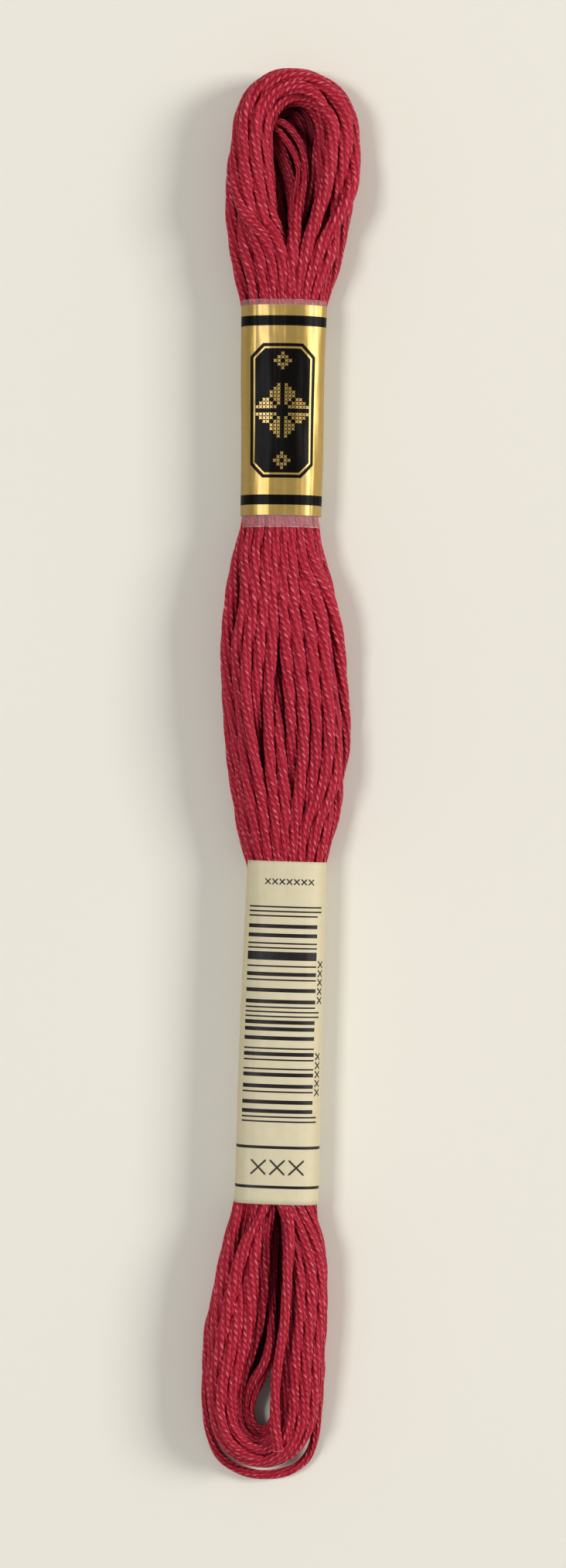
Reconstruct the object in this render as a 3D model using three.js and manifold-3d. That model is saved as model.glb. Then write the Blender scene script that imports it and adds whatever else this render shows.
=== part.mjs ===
import * as THREE from 'three';
import { mergeVertices } from 'three/addons/utils/BufferGeometryUtils.js';
import Module from 'manifold-3d';

// A skein of stranded embroidery floss, lying on its side on a table. One length of floss is wound
// into a long narrow ring, two bands hold the ring's legs together, and a cut end lies on the lower
// bulge. Millimetres. X runs across the skein, Y along it towards the upper loop, Z up. The origin
// is on the table, under the middle of the skein.

const FLOSS_DIAMETER = 1.2;     // one run of floss, all six of its plies
const GAP = 0.3;                // clearance between neighbouring pieces
const BAND_WALL = 0.4;          // wall of a band
const BAND_SIDES = 28;
const RIDGES = 14;              // raised runs around one leg of the ring
const RIDGE_DEPTH = 0.4;        // depth of the groove between two raised runs
const TWIST_RIDGES = 4;         // ridges that a leg turns by between its two loops
const SECTION_POWER = 2.4;      // superellipse exponent of a leg's section, 2 is an oval
const BAND_POWER = 2.8;         // the same for a band, which is a little squarer
const CROWN_INSET = 1.0;        // highest line of a leg, beside the line where the legs meet
const LEG_LAP = 1.0;            // how far each leg reaches past that line, to be one body
const ARC_STEPS = 5;            // stations on each quarter of a loop

// Each band is a straight sleeve from its top edge to its foot, centred on x at each edge.
const UPPER_BAND = {
  low: 0.25, high: 6.55,
  top: { x: 0.45, y: 57.3, width: 10.7 },
  foot: { x: 0.1, y: 29.9, width: 9.9 },
};
const LOWER_BAND = {
  low: 0.25, high: 6.35,
  top: { x: 0.8, y: -10.35, width: 9.8 },
  foot: { x: -0.5, y: -51.65, width: 10.5 },
};

// Sections of the three bulges. The two legs of the ring lie between left and right and meet at
// gapAt, or stand apart there by the width gap, where an eye is open. A low under 0 is cut level
// with the table, which leaves a flat spot.
const UPPER_BULGE = [
  { y: 78.0, left: -5.6, right: 9.4, gapAt: 1.6, gap: 5.6, low: 0.2, high: 5.9 },
  { y: 74.6, left: -6.2, right: 9.6, gapAt: 1.4, gap: 4.6, low: -0.2, high: 6.3 },
  { y: 71.6, left: -6.4, right: 9.6, gapAt: 1.1, gap: 2.0, low: -0.4, high: 6.5 },
  { y: 68.4, left: -6.4, right: 9.3, gapAt: 0.8, gap: 0, low: -0.4, high: 6.7 },
  { y: 64.6, left: -6.0, right: 8.2, gapAt: 0.6, gap: 0, low: -0.3, high: 6.8 },
  { y: 61.0, left: -5.4, right: 7.0, gapAt: 0.5, gap: 0, low: 0.0, high: 6.6 },
];
const MIDDLE_BULGE = [
  { y: 28.0, left: -5.2, right: 5.1, gapAt: 0.1, gap: 0, low: 0.2, high: 6.5 },
  { y: 24.6, left: -6.2, right: 5.6, gapAt: 0.1, gap: 0, low: -0.1, high: 6.8 },
  { y: 20.5, left: -6.8, right: 6.8, gapAt: 0.2, gap: 0, low: -0.4, high: 7.0 },
  { y: 16.0, left: -7.0, right: 7.7, gapAt: 0.3, gap: 0, low: -0.4, high: 7.1 },
  { y: 11.0, left: -7.0, right: 8.0, gapAt: 0.4, gap: 0, low: -0.4, high: 7.1 },
  { y: 6.0, left: -6.5, right: 8.1, gapAt: 0.5, gap: 0, low: -0.4, high: 7.1 },
  { y: 1.0, left: -6.0, right: 7.7, gapAt: 0.6, gap: 0, low: -0.4, high: 7.0 },
  { y: -3.5, left: -5.2, right: 7.0, gapAt: 0.7, gap: 0, low: -0.2, high: 6.8 },
  { y: -7.5, left: -4.6, right: 6.2, gapAt: 0.8, gap: 0, low: 0.1, high: 6.4 },
];
const LOWER_BULGE = [
  { y: -54.0, left: -6.1, right: 4.8, gapAt: -0.6, gap: 0, low: 0.1, high: 6.2 },
  { y: -57.5, left: -7.1, right: 5.3, gapAt: -0.9, gap: 0, low: -0.2, high: 6.4 },
  { y: -61.5, left: -7.9, right: 5.5, gapAt: -1.3, gap: 0, low: -0.4, high: 6.5 },
  { y: -65.5, left: -8.4, right: 5.5, gapAt: -1.8, gap: 0, low: -0.4, high: 6.4 },
  { y: -69.4, left: -8.9, right: 5.2, gapAt: -2.3, gap: 0, low: -0.4, high: 6.2 },
  { y: -72.8, left: -9.2, right: 4.9, gapAt: -2.4, gap: 1.2, low: -0.3, high: 5.9 },
  { y: -76.4, left: -9.3, right: 4.5, gapAt: -2.7, gap: 2.8, low: 0.1, high: 5.4 },
];

// Tips of the loops: the outermost run turns at outer, and the innermost at inner, the eye's end.
const UPPER_TIP = { outer: { x: 1.3, y: 85.45 }, inner: { x: 1.9, y: 81.3 }, low: 0.6, high: 5.3 };
const LOWER_TIP = { outer: { x: -2.2, y: -83.5 }, inner: { x: -2.9, y: -79.2 }, low: 0.3, high: 4.7 };

// One run of the lower loop stands away from the others, and leaves a crescent between them.
// Its two ends are sunk in the legs at top.
const SLACK_RUN = {
  left: -9.6, right: 5.05, tipX: -1.4,
  top: -69.5, middle: -76.4, tip: -85.45,
  power: 2.25, low: 0.75, high: 1.9, sink: 1.8, steps: 9,
};

// The cut end, from the foot of the lower band down over the lower bulge. rise is its centre.
const LOOSE_END = [
  { x: 1.1, y: -52.15, rise: 6.9 },
  { x: 1.2, y: -55.4, rise: 7.2 },
  { x: 0.95, y: -59.6, rise: 7.35 },
  { x: 0.7, y: -64.2, rise: 7.3 },
  { x: 0.3, y: -67.6, rise: 7.2 },
  { x: -0.35, y: -71.4, rise: 7.0 },
  { x: -0.6, y: -75.6, rise: 6.55 },
  { x: -0.3, y: -81.2, rise: 5.9 },
];

const FLOSS = new THREE.MeshStandardMaterial({ color: 0xa5213a, roughness: 0.55, metalness: 0 });
const GOLD_FILM = new THREE.MeshStandardMaterial({ color: 0xc8aa5a, roughness: 0.3, metalness: 0.6 });
const CREAM_PAPER = new THREE.MeshStandardMaterial({ color: 0xd8ceaa, roughness: 0.6, metalness: 0 });

const wasm = await Module();
wasm.setup();

const mix = THREE.MathUtils.lerp;
const smooth = (value, from, to) => THREE.MathUtils.smoothstep(value, from, to);
const bent = (value, power) => Math.sign(value) * Math.pow(Math.abs(value), 2 / power);

// Joins rings of points, in order, into one closed body with a fan over each end.
function loft(rings) {
  const sides = rings[0].length;
  const points = rings.flat();
  const index = [];
  const corner = (ring, side) => ring * sides + (side % sides);
  for (let ring = 0; ring + 1 < rings.length; ring += 1) {
    for (let side = 0; side < sides; side += 1) {
      const a = corner(ring, side);
      const b = corner(ring, side + 1);
      const c = corner(ring + 1, side + 1);
      const d = corner(ring + 1, side);
      index.push(a, b, c, a, c, d);
    }
  }
  for (const [ring, turned] of [[0, true], [rings.length - 1, false]]) {
    const middle = new THREE.Vector3();
    rings[ring].forEach((point) => middle.addScaledVector(point, 1 / sides));
    points.push(middle);
    for (let side = 0; side < sides; side += 1) {
      const a = corner(ring, side);
      const b = corner(ring, side + 1);
      index.push(...(turned ? [b, a] : [a, b]), points.length - 1);
    }
  }
  const geometry = new THREE.BufferGeometry().setFromPoints(points);
  geometry.setIndex(index);
  return geometry;
}

function toSolid(geometry) {
  const bare = geometry.clone();
  bare.deleteAttribute('normal');
  bare.deleteAttribute('uv');
  const welded = mergeVertices(bare, 1e-5);
  const vertProperties = new Float32Array(welded.attributes.position.array);
  const triVerts = new Uint32Array(welded.index.array);
  return new wasm.Manifold(new wasm.Mesh({ numProp: 3, vertProperties, triVerts }));
}

function toGeometry(solid) {
  const { vertProperties, triVerts } = solid.getMesh();
  const geometry = new THREE.BufferGeometry();
  geometry.setAttribute('position', new THREE.BufferAttribute(vertProperties, 3));
  geometry.setIndex(new THREE.BufferAttribute(triVerts, 1));
  return geometry;
}

// The sections that the hank has inside a band, at the band's edges, clear of its wall.
function waist(band) {
  const inset = BAND_WALL + GAP;
  return [band.top, band.foot].map((edge, end) => ({
    y: edge.y + (end === 0 ? GAP : -GAP),
    left: edge.x - edge.width / 2 + inset,
    right: edge.x + edge.width / 2 - inset,
    gapAt: edge.x,
    gap: 0,
    low: band.low + inset,
    high: band.high - inset,
    held: true,
  }));
}

// One station of a leg: a section that stands on the line from inner to outer.
function bodyStation(row, side) {
  const open = smooth(row.gap, 0, 1.5);
  const outer = side < 0 ? row.left : row.right;
  const inner = row.gapAt + side * mix(-LEG_LAP, row.gap / 2, open);
  const crown = mix(row.gapAt + side * CROWN_INSET, (inner + outer) / 2, open);
  return {
    inner: new THREE.Vector2(inner, row.y),
    outer: new THREE.Vector2(outer, row.y),
    crown: (crown - inner) / (outer - inner),
    low: row.low,
    high: row.high,
    open,
    groove: row.held ? 0 : RIDGE_DEPTH,
  };
}

// A quarter of a loop, from the end of a leg to the tip, as stations that fan around the eye.
function arcStations(last, tip) {
  const stations = [];
  for (let step = 1; step <= ARC_STEPS; step += 1) {
    const angle = (step / ARC_STEPS) * Math.PI / 2;
    const turn = (from, to) => new THREE.Vector2(
      mix(to.x, from.x, Math.cos(angle)),
      mix(from.y, to.y, Math.sin(angle)),
    );
    const share = Math.sin(angle) ** 2;
    stations.push({
      inner: turn(last.inner, tip.inner),
      outer: turn(last.outer, tip.outer),
      crown: mix(last.crown, 0.5, share),
      low: mix(last.low, tip.low, share),
      high: mix(last.high, tip.high, share),
      open: 1,
      groove: RIDGE_DEPTH,
    });
  }
  return stations;
}

// The section's points: ridges and grooves by turns around a superellipse, level on the table.
function sectionRing(station, side, twist) {
  const ring = [];
  const count = 2 * RIDGES;
  const across = station.outer.clone().sub(station.inner);
  const middle = (station.low + station.high) / 2;
  const half = (station.high - station.low) / 2;
  for (let point = 0; point < count; point += 1) {
    const angle = (point / count + twist) * 2 * Math.PI;
    const reach = bent(Math.cos(angle), SECTION_POWER);
    const rise = bent(Math.sin(angle), SECTION_POWER);
    const fade = smooth(rise, -0.75, -0.3) * (reach < 0 ? station.open : 1);
    const depth = point % 2 === 0 ? 0 : station.groove * fade;
    const width = across.length() * (reach > 0 ? 1 - station.crown : station.crown);
    const along = station.crown * across.length() + reach * Math.max(width - depth, 0);
    const place = station.inner.clone().addScaledVector(across, along / across.length());
    const height = middle + rise * (half - depth);
    ring.push(new THREE.Vector3(place.x, place.y, Math.max(height, 0)));
  }
  return side < 0 ? ring.reverse() : ring;
}

// One half of the ring, from the upper tip down a leg to the lower tip.
function halfRing(side) {
  const rows = [
    ...UPPER_BULGE, ...waist(UPPER_BAND), ...MIDDLE_BULGE, ...waist(LOWER_BAND), ...LOWER_BULGE,
  ];
  const leg = rows.map((row) => bodyStation(row, side));
  const stations = [
    ...arcStations(leg[0], UPPER_TIP).reverse(),
    ...leg,
    ...arcStations(leg.at(-1), LOWER_TIP),
  ];
  const turns = TWIST_RIDGES / RIDGES;
  const rings = stations.map((station, place) => (
    sectionRing(station, side, side * turns * (place / (stations.length - 1) - 0.5))
  ));
  return toSolid(loft(rings));
}

// A round tube with flat ends along a curve.
function tube(curve, radius, steps) {
  const section = new THREE.Shape();
  for (let side = 0; side < 8; side += 1) {
    const angle = (side + 0.5) * Math.PI / 4;
    const point = [radius * Math.cos(angle), radius * Math.sin(angle)];
    if (side === 0) section.moveTo(...point);
    else section.lineTo(...point);
  }
  section.closePath();
  return new THREE.ExtrudeGeometry(section, { steps, bevelEnabled: false, extrudePath: curve });
}

// The run that stands away from the lower loop: down one edge, round the tip, up the other edge.
function slackRun() {
  const run = SLACK_RUN;
  const radius = FLOSS_DIAMETER / 2;
  const points = [];
  const add = (x, y, share) => points.push(new THREE.Vector3(x, y, mix(run.low, run.high, share)));
  add(run.left + run.sink, run.top, 1);
  for (let step = 0; step <= 2 * run.steps; step += 1) {
    const angle = (step / (2 * run.steps)) * Math.PI;
    const reach = bent(Math.cos(angle), run.power);
    const edge = reach > 0 ? run.left + radius : run.right - radius;
    const drop = bent(Math.sin(angle), run.power) * (run.middle - run.tip - radius);
    add(mix(run.tipX, edge, Math.abs(reach)), run.middle - drop, Math.abs(reach));
  }
  add(run.right - run.sink, run.top, 1);
  return toSolid(tube(new THREE.CatmullRomCurve3(points), radius, 2 * run.steps + 4));
}

function hank() {
  return toGeometry(halfRing(-1).add(halfRing(1)).add(slackRun()));
}

// A band: a sleeve between an outer and an inner superellipse, open at both ends.
function sleeve(band) {
  const axis = new THREE.Vector2(band.top.x - band.foot.x, band.top.y - band.foot.y).normalize();
  const cross = new THREE.Vector2(axis.y, -axis.x);
  const edgeRing = (edge, inset) => {
    const ring = [];
    for (let side = 0; side < BAND_SIDES; side += 1) {
      const angle = (side / BAND_SIDES) * 2 * Math.PI;
      const reach = bent(Math.cos(angle), BAND_POWER) * (edge.width / 2 - inset);
      const half = (band.high - band.low) / 2 - inset;
      const height = (band.high + band.low) / 2 + bent(Math.sin(angle), BAND_POWER) * half;
      ring.push(new THREE.Vector3(edge.x + cross.x * reach, edge.y + cross.y * reach, height));
    }
    return ring;
  };
  const rings = [
    edgeRing(band.top, 0), edgeRing(band.foot, 0),
    edgeRing(band.foot, BAND_WALL), edgeRing(band.top, BAND_WALL),
  ];
  const index = [];
  rings.forEach((ring, place) => {
    const next = (place + 1) % rings.length;
    for (let side = 0; side < BAND_SIDES; side += 1) {
      const a = place * BAND_SIDES + side;
      const b = place * BAND_SIDES + ((side + 1) % BAND_SIDES);
      const c = next * BAND_SIDES + ((side + 1) % BAND_SIDES);
      const d = next * BAND_SIDES + side;
      index.push(a, b, c, a, c, d);
    }
  });
  const geometry = new THREE.BufferGeometry().setFromPoints(rings.flat());
  geometry.setIndex(index);
  return geometry;
}

function looseEnd() {
  const points = LOOSE_END.map(({ x, y, rise }) => new THREE.Vector3(x, y, rise));
  return tube(new THREE.CatmullRomCurve3(points), FLOSS_DIAMETER / 2, 12);
}

function named(name, geometry, material) {
  const mesh = new THREE.Mesh(geometry, material);
  mesh.name = name;
  return mesh;
}

const skein = new THREE.Group();
skein.add(
  named('hank', hank(), FLOSS),
  named('upper_band', sleeve(UPPER_BAND), GOLD_FILM),
  named('lower_band', sleeve(LOWER_BAND), CREAM_PAPER),
  named('loose_end', looseEnd(), FLOSS),
);

export default skein;
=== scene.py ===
"""A skein of six-ply embroidery floss, held by two bands and lying flat.

The floss is wound into a long narrow ring. Each of its turns is a tube of six plies along a closed
path, which runs down the left leg, round the lower eye, up the right leg and round the upper eye.
X is across the skein, Y along it towards the upper eye, Z up, in metres.
"""

import math

import bmesh
import bpy
import numpy as np
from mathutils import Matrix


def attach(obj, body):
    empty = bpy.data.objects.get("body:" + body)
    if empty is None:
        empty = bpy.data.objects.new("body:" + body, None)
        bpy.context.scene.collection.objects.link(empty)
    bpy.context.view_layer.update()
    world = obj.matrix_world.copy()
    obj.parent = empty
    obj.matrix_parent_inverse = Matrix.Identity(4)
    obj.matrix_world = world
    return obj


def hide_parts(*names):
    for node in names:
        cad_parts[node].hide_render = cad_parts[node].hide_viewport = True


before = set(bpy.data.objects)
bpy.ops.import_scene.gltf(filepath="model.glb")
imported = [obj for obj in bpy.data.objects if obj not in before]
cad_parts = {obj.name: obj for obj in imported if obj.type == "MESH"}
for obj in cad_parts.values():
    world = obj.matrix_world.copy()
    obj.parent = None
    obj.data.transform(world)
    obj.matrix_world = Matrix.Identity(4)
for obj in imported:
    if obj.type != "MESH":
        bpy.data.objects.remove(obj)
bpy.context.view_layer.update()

MM = 0.001                 # one millimetre, which the sizes below are in unless they say otherwise
SEED = 25                  # of every random draw

# The floss
TURNS = 18                 # turns of the ring, which is 36 runs across the two legs
TURN_LENGTH = 335.0        # of one turn, about
TURNS_PER_PIECE = 6
RUN_RADIUS = 0.58          # of one run, all six plies
RUN_STEP = 0.65            # length of one step of a tube
LINE_ROUNDS = 8            # of smoothing of a turn's line
PLIES = 6
PLY_RADIUS = 0.212         # of one ply
PLY_OFFSET = 0.37          # of a ply's middle from the run's middle
PLY_LAY = 23.0             # length in which the plies go once round the run
PLY_TWIST = 0.88           # from one crest of a ply's twisted yarns to the next
PLY_SINK = 0.035           # spread of a ply's sinking and rising, as a share of its offset
SINK_WAVES = (5, 9, 16, 29)    # waves of that sinking in one turn
SIDES_PER_PLY = 4

# Sections of the ring. Between left and right the two legs meet at parting, or stand apart there
# by gap. The runs lie between the heights low and high.
SECTION_COLUMNS = ("y", "left", "right", "parting", "gap", "low", "high")
SECTIONS = (
    (78.0, -5.75, 9.6, 1.75, 5.3, 0.1, 6.4),
    (74.6, -6.35, 9.8, 1.5, 4.6, 0.0, 6.6),
    (71.6, -6.55, 10.1, 1.3, 3.6, 0.0, 6.7),
    (68.4, -6.6, 10.25, 0.7, 2.0, 0.0, 6.8),
    (64.6, -6.25, 9.4, 0.5, 0.5, 0.0, 6.8),
    (61.0, -5.65, 7.75, 0.5, 0.0, 0.1, 6.6),
    (58.3, -5.0, 6.1, 0.45, 0.0, 0.4, 6.3),
    (56.0, -4.6, 5.45, 0.45, 0.0, 0.55, 6.1),
    (31.5, -4.6, 4.7, 0.1, 0.0, 0.55, 6.1),
    (29.0, -5.1, 5.0, 0.1, 0.0, 0.4, 6.3),
    (27.0, -6.1, 5.35, -0.2, 0.0, 0.1, 6.6),
    (24.6, -6.45, 6.2, -0.9, 0.1, 0.0, 6.9),
    (20.5, -7.1, 7.95, -2.3, 0.4, 0.0, 7.0),
    (16.0, -7.35, 8.7, -1.8, 0.7, 0.0, 7.1),
    (11.0, -7.2, 8.8, -1.1, 0.9, 0.0, 7.1),
    (6.0, -6.8, 8.95, -0.3, 1.0, 0.0, 7.1),
    (1.0, -6.4, 8.7, 0.45, 0.9, 0.0, 7.0),
    (-3.5, -5.65, 7.7, 0.9, 0.5, 0.1, 6.7),
    (-7.5, -5.05, 6.4, 0.9, 0.0, 0.2, 6.3),
    (-10.0, -4.25, 5.7, 0.8, 0.0, 0.5, 6.0),
    (-12.0, -3.8, 5.35, 0.75, 0.0, 0.55, 5.95),
    (-50.5, -5.3, 4.4, -0.4, 0.0, 0.55, 5.95),
    (-52.5, -5.75, 4.7, -0.3, 0.5, 0.3, 6.15),
    (-54.0, -6.25, 5.0, -0.3, 1.0, 0.1, 6.3),
    (-57.5, -7.15, 5.6, -0.35, 1.4, 0.0, 6.4),
    (-61.5, -8.0, 5.75, -0.45, 1.5, 0.0, 6.5),
    (-65.5, -8.55, 5.75, -0.8, 1.6, 0.0, 6.4),
    (-69.4, -8.8, 5.45, -1.5, 2.3, 0.0, 6.3),
    (-72.8, -8.95, 5.2, -2.15, 3.5, 0.0, 6.1),
    (-76.4, -8.75, 4.65, -2.5, 4.3, 0.1, 5.9),
)
LEG_STATIONS = 156         # stations on each leg
# The tips of the two loops: where the outermost and the innermost run of the main turns go round.
UPPER_TIP = {"outer": (1.15, 85.65), "inner": (2.0, 81.3), "low": 0.3, "high": 6.4}
LOWER_TIP = {"outer": (-2.2, -83.95), "inner": (-2.5, -80.2), "low": 0.2, "high": 5.7}
TIP_STATIONS = 12          # stations on each quarter of a loop
SECTION_POWER = 2.3        # superellipse exponent of a section
SECTION_FILL = 0.9         # share of its box that such a section fills
LEGS_PART = (0.2, 1.4)     # gaps at which the legs' shared oval starts to be, and is, two sections
OVAL_BLEND = 0.3           # difference of half width in which a leg's own room becomes the oval's

# How the turns are spread in the sections and then pushed apart
EVEN_STEPS = (0.7548776662, 0.5698402910)    # from turn to turn, of an even spread over a square
WANDER_WAVES = (1, 2, 3, 5)    # waves of a run's wandering, round the ring
WANDER = (0.13, 0.22)      # its size, as shares of the section's width and of its half height
START_EDGE = 0.08          # free share of a section at each side of the runs' first places
START_LEVEL = 0.85         # greatest height of a first place, as a share of the half height
ROOM_TO_SPACING = 1.1547   # square of the spacing of runs in a triangle pattern, over each one's room
SPACING_RANGE = (0.95, 1.72)
RELAX_ROUNDS = 200
RELAX_REACH = 3            # stations to each side that a run is smoothed with
RELAX_STIFF = 0.35         # share of a kink that one round takes out
GIRTH_SHARE = 0.96         # a run's diameter as a share of its spacing
LOOSE_FULLER = 0.08        # how much fuller than that it is drawn where the runs lie loose
LOOSE_SPACING = (1.15, 1.35)   # spacings at which that starts and is reached

# The turns that go their own way round a loop
EYE_EDGE = 0.6             # a run less than this outside the eye's edge still counts as in the eye
JOIN_LENGTH = 24.0         # length over which a run leaves its place in the section for its own way
FREE_GIRTH = 0.56          # radius of a run inside a loop's eye, where nothing presses it
TAUT_GIRTH = 0.46          # radius of the runs drawn tight across the upper eye
TAUT_TURNS = (1, 2, 3, 4, 5)
DEEP_GIRTH = 0.67          # radius of the runs at the bottom of the upper eye, side by side
DEEP_TURNS = (6, 7, 10)
FLOOR_CLEARANCE = 1.02     # least height of a run's middle over the floor, over its radius

# Their ways, by number: points x, y, z from the left leg, round the tip and into the right leg.
# Turn 0 hangs slack outside the lower loop, and 8, 9 and 11 go round inside it. Turns 1 to 5 are
# drawn tight across the upper eye, over 6, 7 and 10 at its bottom.
OWN_WAYS = {
    0: ((-8.3, -66.0, 2.9), (-8.7, -70.0, 2.5), (-8.95, -73.6, 2.1), (-8.95, -77.0, 1.7),
        (-8.4, -80.4, 1.35), (-7.35, -82.85, 1.1), (-5.4, -84.25, 0.9), (-3.0, -84.95, 0.8),
        (-0.4, -85.0, 0.8), (1.8, -84.3, 0.9), (3.6, -82.8, 1.1), (4.2, -80.5, 1.4),
        (4.55, -77.8, 1.8), (4.7, -74.6, 2.2), (4.85, -70.5, 2.6)),
    1: ((-2.6, 72.0, 1.0), (-2.5, 76.6, 1.0), (-1.8, 79.1, 1.2), (-0.7, 78.2, 1.8), (0.3, 76.1, 2.2),
        (1.1, 73.7, 2.4), (1.7, 71.4, 2.3), (2.2, 68.0, 2.0)),
    2: ((-3.2, 72.0, 0.9), (-3.0, 76.6, 0.9), (-2.2, 79.0, 1.1), (-1.2, 77.9, 1.8), (-0.4, 75.7, 2.1),
        (0.6, 73.3, 2.1), (1.3, 71.2, 2.0), (1.7, 68.0, 1.9)),
    3: ((-2.2, 73.0, 2.2), (-1.9, 77.4, 2.2), (-1.1, 79.3, 2.3), (0.1, 77.9, 2.9), (1.2, 76.1, 3.4),
        (2.2, 74.6, 3.7), (2.6, 73.2, 3.9), (2.3, 71.8, 4.1), (1.7, 69.8, 4.2), (1.5, 67.0, 4.2)),
    4: ((-2.3, 73.5, 3.3), (-1.8, 78.1, 2.9), (-0.7, 79.8, 2.7), (1.0, 78.7, 3.1), (2.2, 77.2, 3.5),
        (2.9, 75.4, 3.9), (3.2, 73.3, 4.3), (3.0, 71.2, 4.7), (2.4, 69.0, 5.0), (2.0, 66.5, 5.1)),
    5: ((-3.9, 71.0, 0.8), (-3.7, 75.4, 0.7), (-2.8, 77.6, 0.8), (-1.8, 76.9, 1.2), (-1.0, 74.4, 1.6),
        (-0.6, 72.0, 1.8), (-0.1, 69.5, 1.9), (0.3, 66.0, 1.8)),
    6: ((-2.3, 71.0, 0.9), (-2.1, 76.5, 0.75), (-1.5, 79.8, 0.65), (-0.1, 81.6, 0.6), (1.8, 82.0, 0.6),
        (3.4, 80.9, 0.6), (4.05, 78.0, 0.65), (3.95, 74.2, 0.7), (3.6, 70.6, 0.8), (3.2, 67.0, 0.9)),
    7: ((0.1, 68.5, 0.7), (0.3, 73.0, 0.65), (0.4, 77.2, 0.6), (0.5, 79.3, 0.6), (1.05, 80.3, 0.6),
        (1.6, 79.3, 0.6), (1.75, 77.2, 0.6), (1.7, 73.0, 0.65), (1.5, 69.0, 0.7), (1.2, 65.5, 0.75)),
    8: ((-0.5, -55.0, 2.3), (-0.8, -60.0, 2.5), (-1.0, -64.5, 3.0), (-1.1, -68.2, 3.8),
        (-1.6, -70.6, 4.1), (-2.6, -72.2, 4.0), (-3.6, -73.6, 3.7), (-4.3, -75.4, 3.3),
        (-4.5, -77.2, 3.0), (-4.15, -78.9, 2.9), (-3.3, -80.1, 2.9), (-2.0, -80.9, 3.0),
        (-0.6, -80.7, 3.1), (0.5, -79.3, 3.2), (1.0, -76.8, 3.3), (1.2, -73.5, 3.3), (1.4, -69.0, 3.0)),
    9: ((0.3, -55.5, 1.2), (0.1, -60.0, 1.2), (-0.1, -64.5, 1.5), (-0.6, -68.3, 2.3),
        (-1.3, -71.3, 2.9), (-2.35, -73.3, 3.0), (-3.4, -75.2, 2.6), (-3.8, -77.3, 2.3),
        (-3.5, -78.8, 2.2), (-2.6, -79.8, 2.2), (-1.5, -79.7, 2.4), (-0.7, -78.2, 2.7),
        (-0.2, -75.2, 2.7), (0.3, -71.5, 2.0), (0.9, -66.5, 1.4)),
    10: ((-1.0, 69.5, 0.8), (-0.85, 74.5, 0.7), (-0.7, 78.4, 0.6), (-0.1, 80.6, 0.6), (1.2, 81.3, 0.6),
         (2.5, 80.2, 0.6), (2.95, 77.4, 0.6), (2.85, 73.4, 0.65), (2.5, 69.5, 0.75), (2.1, 66.0, 0.85)),
    11: ((-1.0, -57.0, 0.8), (-1.3, -62.0, 0.7), (-1.6, -66.0, 0.7), (-2.5, -70.0, 0.7),
         (-3.4, -72.8, 0.7), (-4.3, -75.4, 0.7), (-4.6, -77.6, 0.7), (-4.2, -79.5, 0.8),
         (-3.1, -80.7, 0.9), (-1.6, -81.2, 1.0), (0.2, -80.6, 1.1), (1.4, -78.8, 1.2),
         (1.7, -76.0, 1.3), (1.8, -71.0, 1.2)),
}

# The cut end. The first points are under the lower band, which it leaves at LOOSE_EXIT.
LOOSE_END = (
    (1.05, -50.2, 5.15), (1.08, -51.6, 5.25), (1.12, -52.8, 5.75), (1.18, -54.4, 6.45),
    (1.15, -56.6, 6.85), (0.95, -59.6, 7.05), (0.7, -64.2, 7.0), (0.3, -67.6, 6.9),
    (-0.35, -71.4, 6.7), (-0.6, -75.6, 6.3), (-0.3, -81.2, 5.7),
)
LOOSE_STEPS = 60
LOOSE_GIRTH = 1.08         # its radius over a run's
LOOSE_SPLAY = 0.14         # and how much is added to that over its last fifth, towards the cut
LOOSE_LAY = 1.3            # length in which its plies go once round, over a run's
# The dome over the cut, as rings: size over the last ring's, height over it, and length on its UV
CUT_DOME = ((0.93, 0.12, 0.1), (0.7, 0.2, 0.25), (0.35, 0.24, 0.4), (0.0, 0.25, 0.5))
# The flat disc that closes the hidden end, as rings: size over the first ring's, and length
HIDDEN_DISC = ((0.0, -0.4), (0.5, -0.2))

# The bands: the middle and width of the top edge and of the foot, the heights of the underside
# and the front, and the superellipse exponent of the section
BANDS = {
    "upper_band": {"top": (0.45, 57.3, 10.7), "foot": (0.1, 29.9, 9.95),
                   "low": 0.2, "high": 6.6, "power": 2.2},
    "lower_band": {"top": (0.8, -10.35, 9.8), "foot": (-0.5, -51.65, 10.5),
                   "low": 0.25, "high": 6.35, "power": 2.6},
}
BAND_WALL = 0.09
BAND_LAP = 3.0             # overlap of the sleeve's two ends, on the underside
BAND_LIFT = 0.05           # free height between the two ends there
BAND_INSET = 0.14          # of the sleeve's outer face from its stated size
BAND_STEPS = (60, 160)     # steps down and around

# Grids of the heap's heights, which the painted shade in its hollows is worked out from
SHADE_CELL = 0.4
SHADE_SPAN = ((-20.0, 22.0), (-98.0, 98.0))    # in X and Y
HEAP_HEIGHT = 7.0
SHOULDER = (0.6, 0.8)      # a run's shoulder beside and over its middle, as shares of its radius
SHOULDER_SPOTS = 8         # spots round the middle that the shoulder's height is taken at
NEAR_ROUNDS, WIDE_ROUNDS = 5, 70    # of smoothing: over about a run's width, and a loop's eye
NEAR_DEPTHS = (0.2, 1.5)   # depths under the near mean where shade starts and is full
WIDE_DEPTHS = (0.6, 3.6)   # and the same under the wide mean
NEAR_SHADE = 0.8           # full shade under the near mean
SIDE_BLEND = 0.3           # half the height in which a run's upper side turns into its lower side

# The camera looks straight down. One pixel of its frame is PIXEL across.
PIXEL = 0.0935
FRAME_HEIGHT = 2028        # pixels
FRAME_CENTRE = (0.37, -1.03, 3.5)
LENS, SENSOR = 100.0, 36.0
CLIP = (0.01, 6.0)         # in metres

# The floor and its backdrop, in metres
FLOOR_REACH = 3.2
FLOOR_CELLS = 64           # along each side
FLOOR_LEVEL = -0.00005
BACKDROP_START = 2.0       # distance from the middle where it starts to curve up
BACKDROP_HEIGHT = 1.8

rng = np.random.default_rng(SEED)


# ---------------------------------------------------------------- curves

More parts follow.
